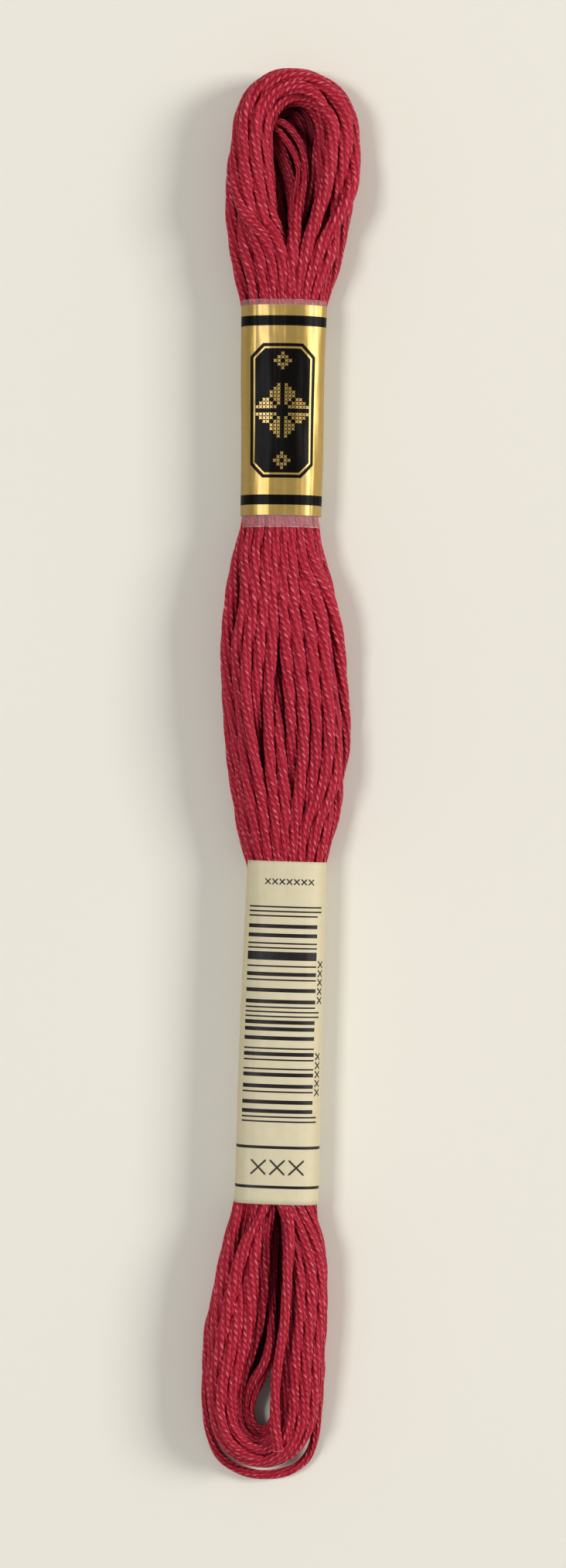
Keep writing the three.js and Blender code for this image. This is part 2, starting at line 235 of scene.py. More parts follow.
def curve_through(x, knots, values):
    """Cubic through the knots: between two of them, a Hermite curve whose slopes are the gradients."""
    knots, values = np.asarray(knots, float), np.asarray(values, float)
    if knots[0] > knots[-1]:
        knots, values = knots[::-1], values[::-1]
    slope = np.gradient(values, knots, axis=0)
    i = np.clip(np.searchsorted(knots, x, side="right") - 1, 0, len(knots) - 2)
    h = knots[i + 1] - knots[i]
    t = (x - knots[i]) / h
    if values.ndim > 1:
        h, t = h[:, None], t[:, None]
    return (
        values[i] * (1 + 2 * t) * (1 - t) ** 2
        + values[i + 1] * t * t * (3 - 2 * t)
        + slope[i] * h * t * (1 - t) ** 2
        - slope[i + 1] * h * t * t * (1 - t)
    )


def lengths_along(points):
    """Distance from the first point to each one, along the line of points."""
    steps = np.linalg.norm(np.diff(points[:, :3], axis=0), axis=1)
    return np.concatenate([[0.0], np.cumsum(steps)])


def resampled(points, count):
    """The same line with count points, evenly spaced along it."""
    along = lengths_along(points)
    return curve_through(np.linspace(0, along[-1], count), along, points)


def smoothstep(x, low, high):
    """0 below low and 1 above high, by a cubic with level ends between them."""
    t = np.clip((x - low) / (high - low), 0, 1)
    return t * t * (3 - 2 * t)


# ---------------------------------------------------------------- the ring of floss

def leg_stations(side, ys):
    """Stations of one leg at the places ys along the skein: a section from the parting line, or the
    eye's edge, out to the leg's own edge. Where the legs lie together, both share one oval."""
    rows = np.array(SECTIONS)
    value = {name: curve_through(ys, rows[:, 0], rows[:, i]) for i, name in enumerate(SECTION_COLUMNS)}
    gap = np.clip(value["gap"], 0, None)
    inner = value["parting"] + side * gap / 2
    outer = value["left"] if side < 0 else value["right"]
    reach = np.abs(outer - inner)
    shared_middle = side * ((value["left"] + value["right"]) / 2 - inner)
    shared_half = (value["right"] - value["left"]) / 2
    apart = smoothstep(gap, *LEGS_PART)
    return {
        "inner": np.stack([inner, ys], 1),
        "outer": np.stack([outer, ys], 1),
        "middle": shared_middle + (reach / 2 - shared_middle) * apart,
        "half": shared_half + (reach / 2 - shared_half) * apart,
        "low": np.clip(value["low"], 0, None),
        "high": value["high"],
    }


def tip_stations(left, right, tip):
    """Stations that fan round an eye, from the left leg's end to the right leg's: two quarters of an
    ellipse for the outer edge and two for the eye's edge."""
    quarter = np.linspace(0, math.pi / 2, TIP_STATIONS + 1)[1:]
    parts = []
    for leg, angles in ((left, quarter), (right, quarter[:-1][::-1])):
        share = np.sin(angles) ** 2
        part = {}
        for edge in ("inner", "outer"):
            start, end = leg[edge], np.array(tip[edge])
            x = end[0] + (start[0] - end[0]) * np.cos(angles)
            y = start[1] + (end[1] - start[1]) * np.sin(angles)
            part[edge] = np.stack([x, y], 1)
        for height in ("low", "high"):
            part[height] = leg[height] + (tip[height] - leg[height]) * share
        reach = np.linalg.norm(part["outer"] - part["inner"], axis=1)
        part["middle"] = part["half"] = reach / 2
        parts.append(part)
    return {name: np.concatenate([parts[0][name], parts[1][name]]) for name in parts[0]}


def one_station(stations, i):
    """One of the stations, by its number."""
    return {name: values[i] for name, values in stations.items()}


def turned_round(stations):
    """The same stations in the other order."""
    return {name: values[::-1] for name, values in stations.items()}


def ring_stations():
    """The whole ring's stations in order, and the slices of its four parts."""
    ys = np.linspace(SECTIONS[0][0], SECTIONS[-1][0], LEG_STATIONS)
    left, right = leg_stations(-1, ys), leg_stations(1, ys)
    parts = {
        "left": left,
        "lower": tip_stations(one_station(left, -1), one_station(right, -1), LOWER_TIP),
        "right": turned_round(right),
        "upper": turned_round(tip_stations(one_station(left, 0), one_station(right, 0), UPPER_TIP)),
    }
    ring = {name: np.concatenate([part[name] for part in parts.values()]) for name in left}
    stops = np.cumsum([0] + [len(part["low"]) for part in parts.values()])
    return ring, {name: slice(stops[i], stops[i + 1]) for i, name in enumerate(parts)}


def wander(count, size):
    """A smooth random walk round the ring for each run: a sum of whole waves of random phase."""
    turn = np.linspace(0, 2 * math.pi, count, endpoint=False)
    total = np.zeros((TURNS, count))
    for wave in WANDER_WAVES:
        phase = rng.uniform(0, 2 * math.pi, (TURNS, 1))
        total += rng.normal(0, 1, (TURNS, 1)) * np.sin(wave * turn + phase)
    return size * total / math.sqrt(len(WANDER_WAVES))


def own_places(ring, part):
    """Where the turns with their own ways are held. On each leg the way gives the place at a station's
    own y, and before its end the run is drawn towards that end. Gives the drawn places, how far each
    station is drawn, where it is held, and where the run is off the ring's stations."""
    shape = (TURNS, len(ring["low"]))
    u, z, drawn = np.zeros(shape), np.zeros(shape), np.zeros(shape)
    held, off = np.zeros(shape, bool), np.zeros(shape, bool)
    for turn, points in OWN_WAYS.items():
        way = np.array(points)
        up = 1 if way[0, 1] > 0 else -1
        tip = int(np.argmax(way[:, 1] * up))
        off[turn, part["upper" if up > 0 else "lower"]] = True
        for name, side, half in (("left", -1, way[: tip + 1]), ("right", 1, way[tip:][::-1])):
            leg = part[name]
            y = ring["inner"][leg, 1] * up
            x = np.interp(y, half[:, 1] * up, half[:, 0])
            u[turn, leg] = side * (x - ring["inner"][leg, 0])
            z[turn, leg] = np.interp(y, half[:, 1] * up, half[:, 2])
            end = half[0, 1] * up
            drawn[turn, leg] = smoothstep(y, end - JOIN_LENGTH, end)
            held[turn, leg] = y > end
    return u, z, drawn, held, off


def run_spacing(ring, reach, full_z, present):
    """Spacing of the runs at each station: they lie in a triangle pattern that fills the section. Where
    the legs lie together all the runs share one oval, and elsewhere those present share a leg's own."""
    area = SECTION_FILL * 4 * full_z
    alone = area * reach / 2 / present.sum(0)
    shared = area * ring["half"] / (2 * TURNS)
    together = smoothstep(np.abs(ring["half"] - reach / 2), 0.0, OVAL_BLEND)
    room = alone + (shared - alone) * together
    return np.clip(np.sqrt(room * ROOM_TO_SPACING), *SPACING_RANGE)


def push_apart(x, z, spacing, weight):
    """How far each run moves, at each station, to stand off its neighbours: half of what two runs
    overlap their mean spacing by, along the line between them."""
    dx = x[:, None] - x[None]
    dz = z[:, None] - z[None]
    distance = np.sqrt(dx * dx + dz * dz) + 1e-9
    mean = (spacing[:, None] + spacing[None]) / 2
    overlap = np.clip(mean - distance, 0, None) / distance * 0.5 * weight[:, None] * weight[None]
    return (overlap * dx).sum(1), (overlap * dz).sum(1)


def legs_side_by_side(value, part):
    """The left leg's runs and then the right leg's, from the top of the skein down."""
    return np.concatenate([value[:, part["left"]], value[:, part["right"]][:, ::-1]])


def pushes(u, z, ring, part, spacing, present):
    """How far the runs push each other: across both legs at once, and within each of the two tips."""
    left, right = part["left"], part["right"]
    outwards = np.where(np.arange(u.shape[1]) < right.start, -1, 1)
    x, height, wide, weight = (
        legs_side_by_side(value, part)
        for value in (ring["inner"][:, 0] + outwards * u, z, spacing, present)
    )
    dx, dz = push_apart(x, height, wide, weight)
    move_u, move_z = np.zeros_like(u), np.zeros_like(z)
    move_u[:, left], move_z[:, left] = -dx[:TURNS], dz[:TURNS]
    move_u[:, right], move_z[:, right] = dx[TURNS:, ::-1], dz[TURNS:, ::-1]
    for tip in ("lower", "upper"):
        arc = part[tip]
        moves = push_apart(u[:, arc], z[:, arc], spacing[:, arc], present[:, arc])
        move_u[:, arc], move_z[:, arc] = moves
    return move_u, move_z


def spread_runs():
    """Lays the turns in the ring's sections. Each starts at its own place in the section and wanders,
    and then the runs push each other apart, stay smooth along the ring and keep inside the section's
    superellipse, until they lie beside each other. A run is as thick as its section has room for, and
    where the runs lie loose it is a little thicker, so that it presses into its neighbours."""
    ring, part = ring_stations()
    count = len(ring["low"])
    even_u, even_z = (np.mod(0.5 + np.arange(TURNS) * step, 1)[:, None] for step in EVEN_STEPS)
    share = even_u + wander(count, WANDER[0])
    level = even_z * (2 * START_LEVEL) - START_LEVEL + wander(count, WANDER[1])

    reach = np.linalg.norm(ring["outer"] - ring["inner"], axis=1)
    middle_z = (ring["low"] + ring["high"]) / 2
    full_z = (ring["high"] - ring["low"]) / 2
    own_u, own_z, drawn, held, off = own_places(ring, part)
    present = np.where(off, 0.0, 1.0)
    in_eye = held & (own_u < EYE_EDGE)
    spacing = run_spacing(ring, reach, full_z, present * ~in_eye)
    girth = GIRTH_SHARE * spacing / 2
    half_z = full_z - girth
    half_u = ring["half"] - girth

    start_u = reach * (START_EDGE + (1 - 2 * START_EDGE) * np.clip(share, 0, 1))
    start_z = middle_z + half_z * np.clip(level, -1, 1)
    start_u = start_u + (own_u - start_u) * drawn
    start_z = start_z + (own_z - start_z) * drawn
    wide = np.where(in_eye, 2 * FREE_GIRTH, spacing)
    near = [step for step in range(-RELAX_REACH, RELAX_REACH + 1) if step]
    u, z = start_u, start_z
    for _ in range(RELAX_ROUNDS):
        move_u, move_z = pushes(u, z, ring, part, wide, present)
        bend_u, bend_z = u + move_u - start_u, z + move_z - start_z
        u, z = (
            value + move + RELAX_STIFF * (sum(np.roll(bend, step, 1) for step in near) / len(near) - bend)
            for value, move, bend in ((u, move_u, bend_u), (z, move_z, bend_z))
        )
        across = np.abs(u - ring["middle"]) / half_u
        rise = np.abs(z - middle_z) / half_z
        outside = (across ** SECTION_POWER + rise ** SECTION_POWER) ** (1 / SECTION_POWER)
        shrink = np.where(outside > 1, 1 / outside, 1)
        u = np.where(held, start_u, ring["middle"] + (u - ring["middle"]) * shrink)
        z = np.where(held, start_z, middle_z + (z - middle_z) * shrink)
    unit = (ring["outer"] - ring["inner"]) / reach[:, None]
    xy = ring["inner"][None] + u[:, :, None] * unit[None]
    fuller = girth * (1 + LOOSE_FULLER * smoothstep(spacing, *LOOSE_SPACING))
    girths = np.broadcast_to(fuller, (TURNS, count))
    return np.concatenate([xy, z[:, :, None], girths[:, :, None]], 2), held | off


def own_girth(turn):
    """Radius of a run where it goes its own way."""
    if turn in TAUT_TURNS:
        return TAUT_GIRTH
    return DEEP_GIRTH if turn in DEEP_TURNS else FREE_GIRTH


def with_way(path, away, way, free):
    """The closed path with the stations that are away replaced by a curve through the way's points,
    along which the girth goes to the free girth and back."""
    first = np.flatnonzero(away & ~np.roll(away, 1))[0]
    path, away = np.roll(path, -first, 0), np.roll(away, -first)
    kept = path[~away]
    last = len(way) - 1
    girth = np.interp(np.arange(last + 1), (0, 2, last - 2, last), (kept[-1, 3], free, free, kept[0, 3]))
    line = np.concatenate([np.array(way), girth[:, None]], 1)
    line = resampled(line, int(lengths_along(line)[-1]))
    return np.concatenate([kept[1:-1], line])


def turn_paths():
    """The closed path of each turn as points about a millimetre apart: x, y, z and girth. No run lies
    lower than on the floor."""
    paths, away = spread_runs()
    ring = []
    for turn in range(TURNS):
        path = paths[turn]
        if turn in OWN_WAYS:
            way = OWN_WAYS[turn]
            path = with_way(path, away[turn], way if way[0][1] < 0 else way[::-1], own_girth(turn))
        path[:, 2] = np.maximum(path[:, 2], FLOOR_CLEARANCE * path[:, 3])
        ring.append(path)
    return ring


def closed_line(path):
    """A closed path with evenly spaced points, RUN_STEP apart, smoothed over about a millimetre."""
    lap = len(path)
    long_way = np.concatenate([path, path, path])
    along = lengths_along(long_way)
    start, stop = along[lap], along[2 * lap]
    count = int((stop - start) / RUN_STEP)
    line = curve_through(np.linspace(start, stop, count, endpoint=False), along, long_way)
    for _ in range(LINE_ROUNDS):
        line = line / 2 + (np.roll(line, 1, 0) + np.roll(line, -1, 0)) / 4
    return line


# ---------------------------------------------------------------- tubes of six plies

def frames_along(points, closed):
    """Unit tangent, side and up vectors at each point. Up is Z less its part along the tangent."""
    if closed:
        tangent = np.roll(points, -1, 0) - np.roll(points, 1, 0)
    else:
        tangent = np.gradient(points, axis=0)
    tangent /= np.linalg.norm(tangent, axis=1, keepdims=True)
    up = np.array([0.0, 0.0, 1.0]) - tangent * tangent[:, 2:3]
    up /= np.linalg.norm(up, axis=1, keepdims=True)
    return tangent, np.cross(tangent, up), up


def run_rings(line, closed, lay):
    """The outline of six plies pressed together, carried along the line and turned by the plies' lay.
    At an angle off a ply's middle the radius is where the ply's own circle is met. Each ply sinks and
    rises a little along the run, and the line's fourth column is the outline's size. Gives the rings'
    points, the length along at each ring and the whole length."""
    points, size = line[:, :3], line[:, 3] / RUN_RADIUS
    along = lengths_along(points)
    length = along[-1] + (np.linalg.norm(points[0] - points[-1]) if closed else 0)
    turn = along[:, None] / length * 2 * math.pi
    sink = np.zeros((len(points), PLIES))
    for wave in SINK_WAVES:
        waves = max(1, round(wave * length / TURN_LENGTH))
        size_of_wave = rng.normal(0, PLY_SINK, PLIES)
        sink += size_of_wave * np.sin(waves * turn + rng.uniform(0, 2 * math.pi, PLIES))

    sides = PLIES * SIDES_PER_PLY
    corner = np.arange(sides)
    ply, step = corner // SIDES_PER_PLY, corner % SIDES_PER_PLY
    off = (step / SIDES_PER_PLY - 0.5) * 2 * math.pi / PLIES
    offset = PLY_OFFSET * (1 + sink)
    offset = np.where(step == 0, (offset[:, ply] + offset[:, ply - 1]) / 2, offset[:, ply])
    past_middle = np.sqrt(np.clip(PLY_RADIUS ** 2 - (offset * np.sin(off)) ** 2, 0, None))
    radius = (offset * np.cos(off) + past_middle) * size[:, None]
    turns = max(1, round(length / lay)) if closed else length / lay
    angle = corner / sides * 2 * math.pi + turn * turns + rng.uniform(0, 2 * math.pi)
    _, side, up = frames_along(points, closed)
    place = points[:, None] + radius[:, :, None] * (
        np.cos(angle)[:, :, None] * side[:, None] + np.sin(angle)[:, :, None] * up[:, None]
    )
    return place, along, length


def blurred(grid, rounds):
    """The grid after so many rounds of a three by three mean."""
    for _ in range(rounds):
        for axis in (0, 1):
            grid = (np.roll(grid, 1, axis) + grid + np.roll(grid, -1, axis)) / 3
    return grid


def height_grids(paths):
    """Grids, SHADE_CELL apart, of the heap's top and of its underside turned over, each as a near mean
    and a wide mean. A run's height is taken over its middle and all round its shoulder."""
    shape = tuple(int((high - low) / SHADE_CELL) for low, high in SHADE_SPAN)
    tops = [np.zeros(shape), np.zeros(shape)]
    angles = np.linspace(0, 2 * math.pi, SHOULDER_SPOTS, endpoint=False)
    spots = [(0, 1, 0)] + [(*SHOULDER, angle) for angle in angles]
    for path in paths:
        x, y, z, girth = resampled(path, int(lengths_along(path)[-1] / SHADE_CELL)).T
        for beside, over, angle in spots:
            reach = beside * girth
            i = ((x + reach * math.cos(angle) - SHADE_SPAN[0][0]) / SHADE_CELL).astype(int)
            j = ((y + reach * math.sin(angle) - SHADE_SPAN[1][0]) / SHADE_CELL).astype(int)
            for top, height in zip(tops, (z, HEAP_HEIGHT - z)):
                np.maximum.at(top, (i, j), height + girth * over)
    return [(blurred(top, NEAR_ROUNDS), blurred(top, WIDE_ROUNDS)) for top in tops]


def grid_value(grid, place):
    """The grid's value at each place, in cells, in proportion between the four cells round it."""
    corner = np.floor(place).astype(int)
    part = place - corner
    total = 0
    for di in (0, 1):
        for dj in (0, 1):
            share = np.abs(1 - di - part[..., 0]) * np.abs(1 - dj - part[..., 1])
            total = total + share * grid[corner[..., 0] + di, corner[..., 1] + dj]
    return total


def shade_of(points, middle, grids):
    """How far each point lies in the heap's hollows, from 0 to 1, which sets how much painted shade it
    gets.
    Points on a run's upper side are measured down from the heap's top and the others up from its underside."""
    place = (points[..., :2] - np.array([low for low, _ in SHADE_SPAN])) / SHADE_CELL - 0.5
    height = points[..., 2]
    upper = smoothstep(height - middle[..., 2], -SIDE_BLEND, SIDE_BLEND)
    depths = []
    for from_top, from_underside in zip(*grids):
        high = grid_value(from_top, place) - height
        low = grid_value(from_underside, place) - (HEAP_HEIGHT - height)
        depths.append(low + (high - low) * upper)
    near, wide = depths
    return np.maximum(NEAR_SHADE * smoothstep(near, *NEAR_DEPTHS), smoothstep(wide, *WIDE_DEPTHS))


def tube_faces(rings, sides, closed, first):
    """Corner numbers of the quads between neighbouring rings, which wrap round each ring."""
    i = np.arange(rings if closed else rings - 1)[:, None]
    j = np.arange(sides)[None]
    i1, j1 = (i + 1) % rings, (j + 1) % sides
    quads = np.stack([i * sides + j, i1 * sides + j, i1 * sides + j1, i * sides + j1], -1)
    return quads.reshape(-1, 4) + first


def tube_uvs(along, length, sides, closed, first_ply):
    """UV of each quad's corners: across the plies, one unit each, and along the run in millimetres."""
    stops = np.append(along, length) if closed else along
    u = np.arange(sides + 1) / SIDES_PER_PLY + first_ply
    corners = ((0, 0), (0, 1), (1, 1), (1, 0))
    uvs = [np.broadcast_arrays(u[None, a:sides + a], stops[b:len(stops) - 1 + b, None]) for a, b in corners]
    return np.stack([np.stack(uv, -1) for uv in uvs], 2).reshape(-1, 2)


def sheet_faces(rows, columns):
    """Corner numbers of the quads of an open sheet of so many rows and columns of points, and the row
    and the column of each corner."""
    i, j = np.arange(rows - 1)[:, None], np.arange(columns - 1)[None]
    corners = ((i, j), (i, j + 1), (i + 1, j + 1), (i + 1, j))
    quads = np.stack([a * columns + b for a, b in corners], -1).reshape(-1, 4)
    return quads, corners


def mesh_object(name, points, quads, uvs, material, shade=None):
    """An object whose mesh has these points, in metres, quads and one UV for each quad's corner. The
    points' painted shade, if any, goes into a UV layer of its own."""
    mesh = bpy.data.meshes.new(name)
    mesh.vertices.add(len(points))
    mesh.vertices.foreach_set("co", np.asarray(points, np.float32).ravel())
    mesh.loops.add(quads.size)
    mesh.loops.foreach_set("vertex_index", quads.astype(np.int32).ravel())
    mesh.polygons.add(len(quads))
    mesh.polygons.foreach_set("loop_start", np.arange(0, quads.size, 4, dtype=np.int32))
    mesh.polygons.foreach_set("use_smooth", np.full(len(quads), True))
    layer = mesh.uv_layers.new(name="run")
    layer.data.foreach_set("uv", np.asarray(uvs, np.float32).ravel())
    if shade is not None:
        layer = mesh.uv_layers.new(name="shade")
        corners = shade.ravel()[quads.ravel()]
        layer.data.foreach_set("uv", np.stack([corners, corners], 1).astype(np.float32).ravel())
    mesh.update(calc_edges=True)
    mesh.validate()
    mesh.materials.append(material)
    obj = bpy.data.objects.new(name, mesh)
    bpy.context.scene.collection.objects.link(obj)
    return obj


def build_floss_turns(paths, material, grids):
    """The turns of the ring as closed tubes, several to a piece."""
    for first in range(0, TURNS, TURNS_PER_PIECE):
        points, quads, uvs, shades, total = [], [], [], [], 0
        for turn in range(first, first + TURNS_PER_PIECE):
            line = closed_line(paths[turn])
            rings, along, length = run_rings(line, True, PLY_LAY)
            count, sides = rings.shape[:2]
            points.append(rings.reshape(-1, 3))
            quads.append(tube_faces(count, sides, True, total))
            uvs.append(tube_uvs(along, length, sides, True, turn * PLIES))
            shades.append(shade_of(rings, line[:, None], grids).ravel())
            total += count * sides
        piece = mesh_object(
            f"floss_turns_{first // TURNS_PER_PIECE + 1}", np.concatenate(points) * MM,
            np.concatenate(quads), np.concatenate(uvs), material, np.concatenate(shades),
        )
        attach(piece, "root")
        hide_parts("hank")


def merge_poles(piece):
    """Joins the points that a cap's innermost ring has in one place."""
    mesh = bmesh.new()
    mesh.from_mesh(piece.data)
    bmesh.ops.remove_doubles(mesh, verts=mesh.verts, dist=1e-7)
    mesh.to_mesh(piece.data)
    mesh.free()


def build_loose_end(material, cut_material, grids):
    """The cut end: a tube of six plies, a little fuller towards the cut, with a low dome over the cut
    and a flat disc at the hidden end, each made of smaller and smaller copies of the ring there."""
    line = resampled(np.array(LOOSE_END), LOOSE_STEPS)
    share = np.linspace(0, 1, len(line))
    girth = RUN_RADIUS * (LOOSE_GIRTH + LOOSE_SPLAY * smoothstep(share, 0.8, 1.0))
    rings, along, length = run_rings(np.column_stack([line, girth]), False, PLY_LAY * LOOSE_LAY)
    tangent, _, _ = frames_along(line, False)
    dome = [rings[-1] * size + line[-1] * (1 - size) + tangent[-1] * over for size, over, _ in CUT_DOME]
    disc = [rings[0] * size + line[0] * (1 - size) for size, _ in HIDDEN_DISC]
    every = np.concatenate([np.array(disc), rings, np.array(dome)])
    stops = np.concatenate([
        [stop for _, stop in HIDDEN_DISC], along, length + np.array([stop for _, _, stop in CUT_DOME]),
    ])
    count, sides = every.shape[:2]
    piece = mesh_object(
        "loose_floss_end", every.reshape(-1, 3) * MM, tube_faces(count, sides, False, 0),
        tube_uvs(stops, stops[-1], sides, False, TURNS * PLIES), material,
        shade_of(every, every.mean(1, keepdims=True), grids),
    )
    piece.data.materials.append(cut_material)
    ring_of_face = np.repeat(np.arange(count - 1), sides)
    on_dome = ring_of_face >= count - 1 - len(dome)
    piece.data.polygons.foreach_set("material_index", on_dome.astype(np.int32))
    merge_poles(piece)
    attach(piece, "root")
    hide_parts("loose_end")


# ---------------------------------------------------------------- bands

def superellipse(angle, half_width, half_height, power):
    """Points of a superellipse: cosine and sine of the angle, each to the power 2 / power with its own
    sign, times the half width and the half height."""
    c, s = np.cos(angle), np.sin(angle)
    return (
        half_width * np.sign(c) * np.abs(c) ** (2 / power),
        half_height * np.sign(s) * np.abs(s) ** (2 / power),
    )


def film_flutes(around, down):
    """Flutes of the film sleeve: a sine around it that sways down it, and a slower slanting one."""
    return 0.05 * np.sin(around * 19 + 1.3 * np.sin(down * 5)) + 0.03 * np.sin(down * 9 + around * 4)


def paper_flutes(around, down):
    """Flutes of the paper sleeve, made in the same way as the film's."""
    return 0.04 * np.sin(around * 15 + 1.1 * np.sin(down * 4)) + 0.05 * np.sin(down * 6 + around * 3)


def build_band(name, material, flutes):
    """A sleeve wrapped once round the skein with its ends lapped on the underside. Around it the
    section is a superellipse, which moves out over the lap by the wall and the lift, and shallow flutes
    run along it. UV is the distance around from the middle of the front and the distance from the top edge,
    in millimetres."""
    band = BANDS[name]
    (x0, y0, w0), (x1, y1, w1) = band["top"], band["foot"]
    length = math.hypot(x0 - x1, y0 - y1)
    along_x, along_y = (x0 - x1) / length, (y0 - y1) / length
    around = np.linspace(-1, 1, BAND_STEPS[1] + 1)
    down = np.linspace(0, 1, BAND_STEPS[0] + 1)
    lap = BAND_LAP / (w0 + band["high"] - band["low"])
    angle = math.pi / 2 - around[None] * math.pi * (1 + lap / 2)
    half_w = ((w0 + (w1 - w0) * down) / 2)[:, None]
    half_h = (band["high"] - band["low"]) / 2
    over = smoothstep(around, 1 - 2 * lap, 1 - lap)[None] * (BAND_WALL + BAND_LIFT)
    grown = flutes(around[None], down[:, None]) - (BAND_WALL / 2 + BAND_INSET - over)
    across, rise = superellipse(angle, half_w + grown, half_h + grown, band["power"])
    x = (x0 + (x1 - x0) * down)[:, None] + along_y * across
    y = (y0 + (y1 - y0) * down)[:, None] - along_x * across
    z = (band["low"] + band["high"]) / 2 + rise
    place = np.stack([x, y, z], -1)

    around_mm = lengths_along(place[len(down) // 2])
    around_mm -= around_mm[len(around) // 2]
    down_mm = down * length
    quads, corners = sheet_faces(len(down), len(around))
    uvs = [np.stack(np.broadcast_arrays(around_mm[j], down_mm[i]), -1) for i, j in corners]
    piece = mesh_object(
        f"{name}_sleeve", place.reshape(-1, 3) * MM, quads, np.stack(uvs, 2).reshape(-1, 2), material
    )
    wall = piece.modifiers.new("wall", "SOLIDIFY")
    wall.thickness = BAND_WALL * MM
    wall.offset = 0
    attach(piece, "root")
    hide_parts(name)


# ---------------------------------------------------------------- materials

class Nodes:
    """Adds nodes to one tree. An input is a number, a tuple or another node's output."""

    def __init__(self, tree):
        self.tree = tree

    def put(self, socket, value):
        if isinstance(value, bpy.types.NodeSocket):
            self.tree.links.new(value, socket)
        else:
            socket.default_value = value

    def fill(self, sockets, values):
        """Puts each value into the socket of its name or number."""
        for socket, value in values.items():
            self.put(sockets[socket], value)

    def add(self, kind, values=None, out=0, **settings):
        made = self.tree.nodes.new(kind)
        for name, value in settings.items():
            setattr(made, name, value)
        self.fill(made.inputs, values or {})
        return made.outputs[out]

    def maths(self, operation, first, *others):
        """The operation on one value, or on two or more from the left."""
        if not others:
            return self.add("ShaderNodeMath", {0: first}, operation=operation)
        for other in others:
            first = self.add("ShaderNodeMath", {0: first, 1: other}, operation=operation)
        return first

    def plus(self, *values):
        return self.maths("ADD", *values)

    def minus(self, first, second):
        return self.maths("SUBTRACT", first, second)

    def times(self, *values):
        return self.maths("MULTIPLY", *values)

    def over(self, first, second):
        return self.maths("DIVIDE", first, second)

    def most(self, *values):
        return self.maths("MAXIMUM", *values)

    def least(self, *values):
        return self.maths("MINIMUM", *values)

    def more(self, first, second):
        """1 where the first is more than the second, and 0 elsewhere."""
        return self.maths("GREATER_THAN", first, second)

    def less(self, first, second):
        """1 where the first is less than the second, and 0 elsewhere."""
        return self.maths("LESS_THAN", first, second)

    def floor(self, value):
        return self.maths("FLOOR", value)

    def nearest(self, value):
        return self.maths("ROUND", value)

    def size(self, value):
        return self.maths("ABSOLUTE", value)

    def rise(self, value, low, high, to_low=0.0, to_high=1.0, kind="SMOOTHSTEP"):
        """Goes from to_low to to_high while the value goes from low to high."""
        values = {0: value, 1: low, 2: high, 3: to_low, 4: to_high}
        return self.add("ShaderNodeMapRange", values, interpolation_type=kind)

    def between(self, value, low, high, soft=0.03):
        """1 between low and high, with soft edges."""
        after_low = self.rise(value, low - soft, low + soft)
        return self.times(after_low, self.rise(value, high - soft, high + soft, 1.0, 0.0))

    def mix(self, share, first, second):
        """The first colour at share 0 and the second at share 1."""
        return self.add("ShaderNodeMix", {0: share, 6: first, 7: second}, 2, data_type="RGBA")

    def noise(self, place, scale, detail=2.0, roughness=0.5):
        values = {"Vector": place, "Scale": scale, "Detail": detail, "Roughness": roughness}
        return self.add("ShaderNodeTexNoise", values)

    def bump(self, height, strength, distance):
        values = {"Strength": strength, "Distance": distance, "Height": height}
        return self.add("ShaderNodeBump", values)

    def vector(self, x, y, z=0.0):
        return self.add("ShaderNodeCombineXYZ", {0: x, 1: y, 2: z})

    def object_place(self):
        """The place on the piece, in metres."""
        return self.add("ShaderNodeTexCoord", out="Object")

    def layer(self, name):
        """The two values of a UV layer."""
        made = self.tree.nodes.new("ShaderNodeSeparateXYZ")
        self.put(made.inputs[0], self.add("ShaderNodeUVMap", uv_map=name))
        return made.outputs[0], made.outputs[1]

    def use_group(self, name, **values):
        """The group's outputs, with these input values."""
        made = self.tree.nodes.new("ShaderNodeGroup")
        made.node_tree = bpy.data.node_groups[name]
        self.fill(made.inputs, values)
        return made.outputs


def new_group(name, values, outputs):
    """A new shader group whose inputs and outputs are numbers: its nodes, what it is given and the
    sockets that take its results."""
    tree = bpy.data.node_groups.new(name, "ShaderNodeTree")
    for socket, value in values.items():
        made = tree.interface.new_socket(socket, in_out="INPUT", socket_type="NodeSocketFloat")
        made.default_value = value
    for socket in outputs:
        tree.interface.new_socket(socket, in_out="OUTPUT", socket_type="NodeSocketFloat")
    return Nodes(tree), tree.nodes.new("NodeGroupInput").outputs, tree.nodes.new("NodeGroupOutput").inputs


def new_material(name):
    """A material with only a Principled shader and its output: the material, its nodes and the
    shader's inputs."""
    material = bpy.data.materials.new(name)
    material.use_nodes = True
    shader = material.node_tree.nodes["Principled BSDF"]
    return material, Nodes(material.node_tree), shader.inputs


def rgb(red, green, blue):
    """Linear colour of an sRGB colour given from 0 to 255."""
    c = np.array([red, green, blue]) / 255
    linear = np.where(c <= 0.04045, c / 12.92, ((c + 0.055) / 1.055) ** 2.4)
    return (*linear.tolist(), 1.0)


YARN_RED = rgb(149, 7, 30)           # of the yarn between its crests
CREST_HIGHLIGHT_RED = rgb(240, 100, 118)       # painted highlight where a twisted yarn stands highest
DEEP_RED = rgb(158, 14, 38)          # of the stretches that took more dye
FIBRE_RED = rgb(218, 74, 94)         # of fine paler fibres along the plies
SPARK_HIGHLIGHT_PINK = rgb(248, 144, 150)      # painted highlight on the few fibres that catch the light
GROOVE_SHADE_RED = rgb(92, 2, 12)          # painted shade between two plies
HOLLOW_SHADE_RED = rgb(58, 0, 7)           # painted shade deep inside the heap
LUSTRE_PINK = rgb(255, 120, 140)     # of the yarn's shine
CUT_DARK, CUT_PALE = rgb(150, 24, 40), rgb(222, 110, 124)    # of the fibres' cut ends
CUT_LINE_SHADE = rgb(110, 10, 22)          # painted shade between the cut plies
GOLD_DARK, GOLD_PALE = rgb(162, 132, 68), rgb(178, 150, 86)
FILM_BLACK = rgb(9, 7, 6)
FILM_CLEAR = rgb(240, 216, 214)      # of the margins' faint veil
CREAM_DARK, CREAM_PALE = rgb(206, 194, 160), rgb(217, 207, 176)
